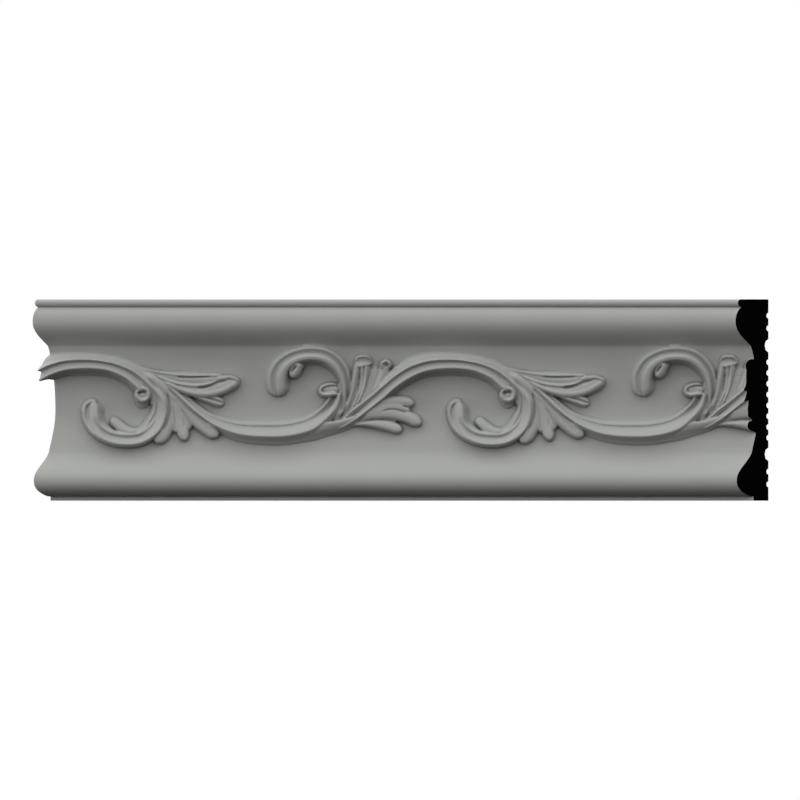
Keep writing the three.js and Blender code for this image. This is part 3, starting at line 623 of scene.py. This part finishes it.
def cutTree():
    tree, start, end = newTree("cutToLength", "GeometryNodeTree", [
        ("Geometry", "Geometry"), ("Length", "Float"), ("Depth", "Float"), ("Height", "Float"),
        ("Slant", "Float"), ("Back Edge", "Float"), ("Face", "Material"), ("Ends", "Material"),
        ("Back", "Material"),
    ], [("Geometry", "Geometry")])
    block = addNode(tree, "GeometryNodeMeshCube", {
        "Size": vectorOf(tree, start["Length"], start["Depth"], start["Height"])})
    spot = partsOf(tree)
    lean = calculate(tree, "MULTIPLY", spot["Y"], start["Slant"])
    sheared = addNode(tree, "GeometryNodeSetPosition", {
        "Geometry": block.outputs["Mesh"], "Offset": vectorOf(tree, lean)})
    kept = addNode(tree, "GeometryNodeMeshBoolean", operation="INTERSECT", solver="MANIFOLD")
    tree.links.new(start["Geometry"], kept.inputs["Mesh 2"])
    tree.links.new(sheared.outputs["Geometry"], kept.inputs["Mesh 2"])
    fromMiddle = calculate(tree, "ABSOLUTE", calculate(tree, "SUBTRACT", spot["X"], lean))
    half = calculate(tree, "MULTIPLY", start["Length"], 0.5)
    onEnd = calculate(tree, "COMPARE", fromMiddle, half, 2e-6)  # within two micrometres
    onBack = calculate(tree, "GREATER_THAN", spot["Y"], start["Back Edge"])
    smooth = addNode(tree, "GeometryNodeSetShadeSmooth", {
        "Geometry": kept.outputs["Mesh"], "Shade Smooth": True})
    real = addNode(tree, "GeometryNodeRealizeInstances", {"Geometry": smooth.outputs["Geometry"]})
    shape = real.outputs["Geometry"]
    for selection, material in ((True, "Face"), (onBack, "Back"), (onEnd, "Ends")):
        shape = addNode(tree, "GeometryNodeSetMaterial", {
            "Geometry": shape, "Selection": selection, "Material": start[material]}).outputs["Geometry"]
    tree.links.new(shape, end["Geometry"])
    return tree


def addTree(piece, tree, values):
    modifier = piece.modifiers.new(tree.name, "NODES")
    modifier.node_group = tree
    sockets = [item for item in tree.interface.items_tree if item.in_out == "INPUT"]
    keys = {socket.name: socket.identifier for socket in sockets}
    for name, value in values.items():
        modifier[keys[name]] = value


def evaluatedMesh(piece):
    bpy.context.view_layer.update()
    graph = bpy.context.evaluated_depsgraph_get()
    return bpy.data.meshes.new_from_object(piece.evaluated_get(graph), depsgraph=graph)


def discard(*meshes):  # an object that uses one of them goes with it
    for mesh in meshes:
        bpy.data.meshes.remove(mesh)


def trianglesOf(mesh):
    return sum(len(face.vertices) - 2 for face in mesh.polygons)


# poreMiddle and poreEdge are distances in cells of the grain
coatShape = {"mottleDetail": 3.0, "grainDetail": 2.0, "poreMiddle": 0.1, "poreEdge": 0.4}


def coatingTree():  # a mottled coat over a fine grain, darker with painted shade where the carving is hollow
    tree, start, end = newTree("mottledCoat", "ShaderNodeTree", [
        ("Coordinates", "Vector"), ("Colour", "Color"), ("Painted Shade Colour", "Color"),
        ("Painted Shade", "Float"), ("Mottle Scale", "Float"), ("Mottle Depth", "Float"),
        ("Grain Scale", "Float"), ("Grain Height", "Float"), ("Pore Share", "Float"),
        ("Roughness", "Float"), ("Roughness Spread", "Float"),
    ], [("Colour", "Color"), ("Roughness", "Float"), ("Normal", "Vector")])
    spot = start["Coordinates"]
    clouds = addNode(tree, "ShaderNodeTexNoise", {
        "Vector": spot, "Scale": start["Mottle Scale"], "Detail": coatShape["mottleDetail"]})
    grain = addNode(tree, "ShaderNodeTexNoise", {
        "Vector": spot, "Scale": start["Grain Scale"], "Detail": coatShape["grainDetail"]})
    pores = addNode(tree, "ShaderNodeTexVoronoi", {"Vector": spot, "Scale": start["Grain Scale"]})
    poreDepth = addNode(tree, "ShaderNodeMapRange", {
        "Value": pores.outputs["Distance"], "From Min": coatShape["poreMiddle"],
        "From Max": coatShape["poreEdge"]}).outputs["Result"]
    cloud = calculate(tree, "SUBTRACT", clouds.outputs["Fac"], 0.5)
    brightness = calculate(tree, "MULTIPLY_ADD", cloud, start["Mottle Depth"], 1)
    # painted shade: the colour is mixed towards a darker one by the mask of shade in the hollows
    tone = addNode(tree, "ShaderNodeMix", data_type="RGBA")
    tree.links.new(start["Painted Shade"], tone.inputs[0])
    tree.links.new(start["Colour"], tone.inputs[6])
    tree.links.new(start["Painted Shade Colour"], tone.inputs[7])
    mottled = addNode(tree, "ShaderNodeVectorMath", {
        0: tone.outputs[2], "Scale": brightness}, operation="SCALE")
    tree.links.new(mottled.outputs["Vector"], end["Colour"])
    spread = calculate(tree, "MULTIPLY_ADD", cloud, start["Roughness Spread"], start["Roughness"])
    tree.links.new(spread, end["Roughness"])
    poreTone = calculate(tree, "MULTIPLY", poreDepth, start["Pore Share"])
    rough = calculate(tree, "ADD", grain.outputs["Fac"], poreTone)
    bump = addNode(tree, "ShaderNodeBump", {"Height": rough, "Distance": start["Grain Height"]})
    tree.links.new(bump.outputs["Normal"], end["Normal"])
    return tree


def coatedMaterial(name, coating, finish, shadeAttribute=None):
    material = bpy.data.materials.new(name)
    material.use_nodes = True
    tree = material.node_tree
    coat = addNode(tree, "ShaderNodeGroup", node_tree=coating)
    tree.links.new(addNode(tree, "ShaderNodeTexCoord").outputs["Object"], coat.inputs["Coordinates"])
    for key, value in finish["coat"].items():
        coat.inputs[key].default_value = (*value, 1) if isinstance(value, tuple) else value
    if shadeAttribute:
        paintedShade = addNode(tree, "ShaderNodeAttribute", attribute_name=shadeAttribute)
        tree.links.new(paintedShade.outputs["Fac"], coat.inputs["Painted Shade"])
    shader = tree.nodes["Principled BSDF"]
    tree.links.new(coat.outputs["Colour"], shader.inputs["Base Color"])
    tree.links.new(coat.outputs["Roughness"], shader.inputs["Roughness"])
    tree.links.new(coat.outputs["Normal"], shader.inputs["Normal"])
    shader.inputs["Specular IOR Level"].default_value = finish["gloss"]
    return material


def averaged(values, cells, axes):
    for axis in axes:
        shifts = range(-cells, cells + 1)
        values = sum(np.roll(values, shift, axis) for shift in shifts) / len(shifts)
    return values


def paintedShadeAmount(out, sizes):  # painted shade: 1 on steep ground that lies well below its surroundings, where shade falls
    rise = out - out.min(0)
    wide = averaged(rise, sizes["shadeCells"], (0, 1, 0, 1))
    depth = np.clip((wide - rise) / (sizes["shadeDepth"] * millimetre), 0, 1)
    slope = np.hypot(*np.gradient(out, sizes["step"] * millimetre))
    return depth * np.clip(averaged(slope, 1, (0, 1)), sizes["shadeLeast"], 1)


# each point takes its painted shade from the nearest fine cell
def writePaintedShade(mesh, columnPlaces, rowPlaces, paintedShade):
    points = np.empty(len(mesh.vertices) * 3, np.float32)
    mesh.vertices.foreach_get("co", points)
    x, y, z = points.reshape(-1, 3).T
    column = np.interp(x, columnPlaces, np.arange(len(columnPlaces))).round().astype(int)
    row = np.interp(-z, -rowPlaces, np.arange(len(rowPlaces))).round().astype(int)
    inField = (y < -backClear * millimetre) & (z < rowPlaces[0]) & (z > rowPlaces[-1])
    values = np.where(inField, paintedShade[column, row], 0).astype(np.float32)
    mesh.attributes.new("paintedShade", "FLOAT", "POINT").data.foreach_set("value", values)


# how far the surface leaves each cell of this size, as stretched over its corners
def cellErrors(out, size):
    first, second = out[:-1:size, :-1:size], out[size::size, :-1:size]
    third, fourth = out[:-1:size, size::size], out[size::size, size::size]
    worst = np.zeros_like(first)
    for i in range(size + 1):
        for j in range(size + 1):
            guess = lerp(lerp(first, second, i / size), lerp(third, fourth, i / size), j / size)
            found = out[i::size, j::size][:first.shape[0], :first.shape[1]]
            worst = np.maximum(worst, abs(guess - found))
    return worst


def cellsToSplit(out, sizes):  # a mask for each coarse size; no cell meets one under half its size
    masks, finer = {}, None
    for size in sizes["cellSizes"]:
        rough = cellErrors(out, size) > sizes["roughness"] * millimetre
        if finer is not None:
            wide, high = finer.shape
            padded = np.pad(finer, 1)
            near = [padded[i:i + wide, j:j + high] for i in range(3) for j in range(3)]
            rough |= np.any(near, axis=0).reshape(rough.shape[0], 2, rough.shape[1], 2).any((1, 3))
        masks[size] = finer = rough
    return masks


def cellsBySize(out, firstRow, sizes):  # column and row of the first corner of each cell
    masks = cellsToSplit(out, sizes)
    cells, inside = {}, np.ones_like(masks[sizes["cellSizes"][-1]])
    for size in reversed(sizes["cellSizes"]):
        cells[size] = np.argwhere(inside & ~masks[size]) * size + (0, firstRow)
        inside = np.repeat(np.repeat(inside & masks[size], 2, 0), 2, 1)
    cells[1] = np.argwhere(inside) + (0, firstRow)
    return cells


# two triangles a cell, or a fan around its middle where a finer cell adds a point on an edge
def cellTriangles(cells, size, number, used, out):
    c, r = cells.T
    corners = number[c, r], number[c + size, r], number[c + size, r + size], number[c, r + size]
    triangles = []
    if size > 1:
        half = size // 2
        middles = (c + half, r), (c + size, r + half), (c + half, r + size), (c, r + half)
        fan = np.any([used[middle] for middle in middles], axis=0)
        for k in np.flatnonzero(fan):
            ring = []
            for corner, (column, row) in zip(corners, middles):
                ring.append(corner[k])
                if used[column[k], row[k]]:
                    ring.append(number[column[k], row[k]])
            heart = c[k] + half, r[k] + half
            used[heart] = True
            triangles.append([(ring[n - 1], ring[n], number[heart]) for n in range(len(ring))])
        corners = [corner[~fan] for corner in corners]
    a, b, d, e = corners
    first = abs(out[a] - out[d]) <= abs(out[b] - out[e])
    triangles.append(np.stack([a, b, np.where(first, d, e)], 1))
    triangles.append(np.stack([np.where(first, a, b), d, e], 1))
    return triangles


# the plain members and the back in long cells, and both rough ends
def plainPolygons(firstRow, lastRow, step, number, used):
    columns, rows = number.shape
    polygons = []
    for c in range(0, columns - 1, step):
        for r in [*range(firstRow), *range(lastRow, rows)]:
            nextRow = (r + 1) % rows
            low = [number[k, r] for k in range(c, c + step + 1) if used[k, r]]
            high = [number[k, nextRow] for k in range(c, c + step + 1) if used[k, nextRow]]
            polygons.append(low + high[::-1])
    for c, turn in ((0, 1), (columns - 1, -1)):
        polygons.append([number[c, r] for r in range(rows) if used[c, r]][::turn])
    return polygons


# coarse cells where the carving is plain, fine ones elsewhere
def thinned(mesh, rows, firstRow, lastRow, sizes):
    points = np.empty(len(mesh.vertices) * 3, np.float32)
    mesh.vertices.foreach_get("co", points)
    order = np.empty(len(mesh.vertices), np.float32)
    mesh.attributes["row"].data.foreach_get("value", order)
    points = points.reshape(-1, rows, 3)[:, np.argsort(order[:rows])]
    out = -points[:, firstRow:lastRow + 1, 1].astype(float)
    number = np.arange(len(points) * rows).reshape(-1, rows)
    cells = cellsBySize(out, firstRow, sizes)
    used = np.zeros(number.shape, bool)
    for size, corners in cells.items():
        for right, up in ((0, 0), (size, 0), (0, size), (size, size)):
            used[corners[:, 0] + right, corners[:, 1] + up] = True
    step = sizes["stripCells"]
    used[::step, :firstRow + 1] = True
    used[::step, lastRow:] = True
    triangles = []
    for size, corners in cells.items():
        triangles += cellTriangles(corners, size, number, used, -points[..., 1].ravel())
    polygons = plainPolygons(firstRow, lastRow, step, number, used)
    fresh = np.cumsum(used.ravel()) - 1
    faces = fresh[np.vstack(triangles)].tolist() + [fresh[polygon].tolist() for polygon in polygons]
    thin = bpy.data.meshes.new("thinMoulding")
    thin.from_pydata(points[used].tolist(), [], faces)
    places = points[:, 0, 0], points[0, firstRow:lastRow + 1, 2]
    return thin, (*places, paintedShadeAmount(out, sizes))


def enclosedVolume(mesh):
    mesh.calc_loop_triangles()
    corners = np.empty(len(mesh.loop_triangles) * 3, np.int32)
    mesh.loop_triangles.foreach_get("vertices", corners)
    points = np.empty(len(mesh.vertices) * 3, np.float32)
    mesh.vertices.foreach_get("co", points)
    a, b, c = points.reshape(-1, 3).astype(float)[corners.reshape(-1, 3)].transpose(1, 0, 2)
    return np.einsum("ij,ij->", a, np.cross(b, c)) / 6


def sharpen(mesh, angle):  # sharp edges at arrises and where the cut ends meet the faces
    mesh.shade_smooth()
    mesh.set_sharp_from_angle(angle=math.radians(angle))
    shape = bmesh.new()
    shape.from_mesh(mesh)
    for edge in shape.edges:
        if len({face.material_index for face in edge.link_faces}) > 1:
            edge.smooth = False
    shape.to_mesh(mesh)
    shape.free()


def makeMoulding(sizes, motif, coats):
    coating = coatingTree()
    face = coatedMaterial("primedFace", coating, coats["face"], "paintedShade")
    ends = coatedMaterial("cutEnds", coating, coats["ends"])
    back = coatedMaterial("plainBack", coating, coats["back"])
    slant = math.tan(math.radians(sizes["endSlant"]))
    length = sizes["tipToTip"] - sizes["projection"] * slant  # along the back
    motifPiece = joinStrips("scrollMotif", motifStrips(motif))
    cutPiece = joinStrips("scrollCuts", [cutStrip(*cut) for cut in motif["cuts"]])
    outline, firstRow, lastRow = sectionOutline(sizes)
    rows = len(outline.vertices)
    piece = bpy.data.objects.new("carved_moulding", outline)
    bpy.context.scene.collection.objects.link(piece)
    roughLength = length + 2 * sizes["projection"] * slant
    strip = sizes["stripCells"] * sizes["step"]
    strips = math.ceil(roughLength / strip) + 2
    leftEnd = -length / 2 - sizes["fieldLowest"][1] * slant  # at the field
    addTree(piece, sweepTree(), {
        "Motif": motifPiece, "Cuts": cutPiece,
        "Length": strips * strip * millimetre,
        "Columns": strips * sizes["stripCells"] + 1,
        "Repeat": motif["repeat"] * millimetre,
        "Stretch": motif["repeat"] / motif["drawnRepeat"],
        "Place": motif["place"] * millimetre,
        "Copies": motif["copies"],
        "Left Limit": (leftEnd + motif["leastShown"]) * millimetre,
        "Blur": motif["blur"],
        "Back Edge": -backClear * millimetre,
        "Face": face,
    })
    swept = evaluatedMesh(piece)
    note(f"swept and carved: {trianglesOf(swept)} triangles")
    piece.modifiers.clear()
    thin, paintedShade = thinned(swept, rows, firstRow, lastRow, sizes)
    piece.data = thin
    discard(motifPiece.data, cutPiece.data, outline, swept)
    if enclosedVolume(thin) < 0:
        thin.flip_normals()
    note(f"thinned: {trianglesOf(thin)} triangles")
    addTree(piece, cutTree(), {
        "Length": length * millimetre,
        "Depth": 4 * sizes["projection"] * millimetre,  # clear of the front and the back
        "Height": 2 * sizes["height"] * millimetre,
        "Slant": slant,
        "Back Edge": -backClear * millimetre,
        "Face": face, "Ends": ends, "Back": back,
    })
    cut = evaluatedMesh(piece)
    piece.modifiers.clear()
    piece.data = cut
    discard(thin)
    sharpen(cut, sizes["smoothAngle"])
    # the mask of painted shade, strongest in the steep hollows of the carving
    writePaintedShade(cut, *paintedShade)
    volume = enclosedVolume(cut) * 1e6
    note(f"cut to length: {trianglesOf(cut)} triangles, {volume:.1f} cubic centimetres")
    return piece


coats = {
    "face": {"gloss": 0.5, "coat": {
        # the face's second, darker colour is painted shade for its steep hollows
        "Colour": (0.44, 0.45, 0.425), "Painted Shade Colour": (0.2, 0.205, 0.19), "Mottle Scale": 40.0,
        "Mottle Depth": 0.1, "Grain Scale": 1500.0, "Grain Height": 0.00002, "Pore Share": 0.0,
        "Roughness": 0.55, "Roughness Spread": 0.15}},
    "ends": {"gloss": 0.02, "coat": {
        "Colour": (0.001, 0.001, 0.001), "Painted Shade Colour": (0.001, 0.001, 0.001), "Mottle Scale": 120.0,
        "Mottle Depth": 0.6, "Grain Scale": 900.0, "Grain Height": 0.00012, "Pore Share": 0.6,
        "Roughness": 0.85, "Roughness Spread": 0.2}},
    "back": {"gloss": 0.3, "coat": {
        "Colour": (0.34, 0.33, 0.29), "Painted Shade Colour": (0.3, 0.3, 0.28), "Mottle Scale": 60.0,
        "Mottle Depth": 0.25, "Grain Scale": 700.0, "Grain Height": 0.00012, "Pore Share": 0.8,
        "Roughness": 0.8, "Roughness Spread": 0.2}},
}
piece = makeMoulding(moulding, scroll, coats)
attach(piece, "root")
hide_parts("panel_moulding")

# Camera, square to the front
picture = {"width": 0.3908, "centre": -0.00827, "distance": 1.0}
camera = bpy.data.objects.new("camera", bpy.data.cameras.new("camera"))
camera.data.type = "ORTHO"
camera.data.ortho_scale = picture["width"]
camera.location = (picture["centre"], -picture["distance"], 0)
camera.rotation_euler = (math.pi / 2, 0, 0)
bpy.context.scene.collection.objects.link(camera)
bpy.context.scene.camera = camera

# Light: a soft sky that is bright above and dim below, white where the camera sees it
studio = {
    "above": 1.3, "below": 0.03, "dimFrom": -0.05, "brightFrom": 0.24, "towardsRight": -0.3,
    "floorDepth": 0.6, "floorReach": 0.5, "floorColour": (0.8, 0.8, 0.8, 1),
}
world = bpy.data.worlds.new("studio")
world.use_nodes = True
bpy.context.scene.world = world
worldTree = world.node_tree
background = worldTree.nodes["Background"]
direction = addNode(worldTree, "ShaderNodeTexCoord").outputs["Generated"]
lampSide = Vector((studio["towardsRight"], 0, 1)).normalized()
facing = addNode(worldTree, "ShaderNodeVectorMath", {
    0: direction, 1: lampSide}, operation="DOT_PRODUCT")
sky = addNode(worldTree, "ShaderNodeMapRange", {
    "Value": facing.outputs["Value"], "From Min": studio["dimFrom"], "From Max": studio["brightFrom"],
    "To Min": studio["below"], "To Max": studio["above"],
}, interpolation_type="SMOOTHSTEP").outputs["Result"]
seen = addNode(worldTree, "ShaderNodeLightPath").outputs["Is Camera Ray"]
strength = calculate(worldTree, "MAXIMUM", sky, seen)
worldTree.links.new(strength, background.inputs["Strength"])
background.inputs["Color"].default_value = (1, 1, 1, 1)
bpy.context.scene.view_settings.view_transform = "Standard"

reach, depth = studio["floorReach"], -studio["floorDepth"]
floorCorners = [(x * reach, y * reach, depth) for x, y in ((-1, -1), (1, -1), (1, 1), (-1, 1))]
floorMesh = bpy.data.meshes.new("floor")
floorMesh.from_pydata(floorCorners, [], [(0, 1, 2, 3)])
floor = bpy.data.objects.new("floor", floorMesh)
paleFloor = bpy.data.materials.new("paleFloor")
paleFloor.diffuse_color = studio["floorColour"]
floorMesh.materials.append(paleFloor)
floor.visible_diffuse = False  # its bounce would light the undersides
floor.visible_glossy = False
bpy.context.scene.collection.objects.link(floor)

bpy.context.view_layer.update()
note("ready")
